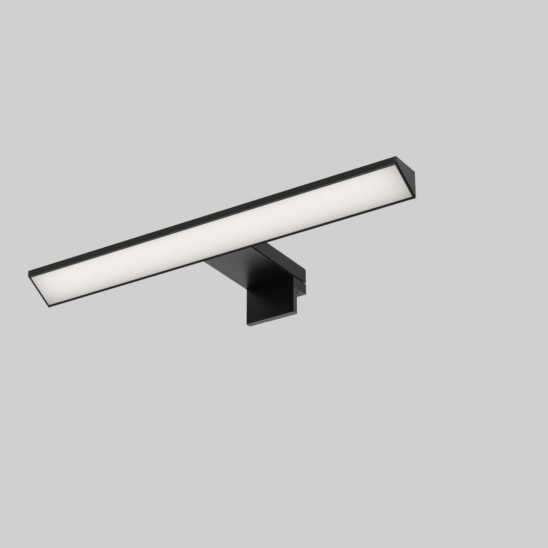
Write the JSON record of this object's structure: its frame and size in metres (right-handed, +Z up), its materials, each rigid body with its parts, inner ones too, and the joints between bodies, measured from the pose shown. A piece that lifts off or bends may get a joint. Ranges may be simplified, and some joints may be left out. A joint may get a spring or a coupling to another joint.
{
  "type": "picture light",
  "caption": "Slim wedge-shaped LED light bar on a flat arm that clips over the top edge of a mirror, glass panel or frameless picture.",
  "frame": {"origin": "middle of the mirror seat: the line where the glass's front face meets its top edge", "axes": "+X along the light bar, +Y towards the wall behind the glass, +Z up"},
  "size_m": [0.3, 0.1022, 0.0419],
  "materials": {
    "black_paint": "fine satin black paint",
    "opal": "opal, lit from behind",
    "black_seal": "matt black rubber",
    "soft_pad": "soft black silicone",
    "white_board": "white solder mask on aluminium",
    "phosphor": "yellow phosphor",
    "tape": "thermal tape",
    "lead_black": "silicone insulation",
    "lead_red": "silicone insulation",
    "lead_brown": "insulation",
    "lead_blue": "insulation",
    "zinc_steel": "zinc plated",
    "black_steel": "black oxide",
    "tray": "thin insulating sheet",
    "green_board": "circuit board",
    "transformer": "taped bobbin",
    "capacitor_sleeve": "shrink sleeve",
    "ferrite": "ferrite drum",
    "chip_black": "moulded chips",
    "terminal_plastic": "moulded plastic",
    "clamp_plastic": "moulded plastic"
  },
  "bodies": {
    "fixture": {"bar_profile": "black_paint", "end_cap_left": "black_paint", "end_cap_right": "black_paint", "bracket": "black_paint", "arm_casing": "black_paint", "diffuser": "opal", "end_gasket_left": "black_seal", "end_gasket_right": "black_seal", "cord_grommet": "black_seal", "lead_grommets": "black_seal", "front_pad": "soft_pad", "roof_pad": "soft_pad", "led_board": "white_board", "led_chips": "phosphor", "thermal_tape": "tape", "lead_negative": "lead_black", "lead_positive": "lead_red", "mains_lead_live": "lead_brown", "mains_lead_neutral": "lead_blue", "bar_screws": "zinc_steel", "casing_screws": "zinc_steel", "cord_clamp_screws": "zinc_steel", "driver_screws": "zinc_steel", "terminal_screws": "zinc_steel", "driver_tray": "tray", "driver_board": "green_board", "driver_transformer": "transformer", "driver_capacitors": "capacitor_sleeve", "driver_choke": "ferrite", "driver_chips": "chip_black", "terminal_block": "terminal_plastic", "cord_clamp": "clamp_plastic"},
    "jaw": {"jaw_plate": "zinc_steel", "jaw_pad": "soft_pad"},
    "screw": {"clamp_screw": "black_steel"}
  },
  "joints": [
    {"name": "jaw_slide", "type": "slide", "parent": "fixture", "child": "jaw", "axis": [0, 1, 0], "range_m": [-0.002, 0.001]},
    {"name": "screw_turn", "type": "hinge", "parent": "jaw", "child": "screw", "pos_m": [0, 0.0101, -0.006], "axis": [0, 1, 0], "range_deg": [-1030, 515]}
  ],
  "couplings": [
    {"joint": "screw_turn", "follows": "jaw_slide", "rad_per_m": 8976}
  ]
}
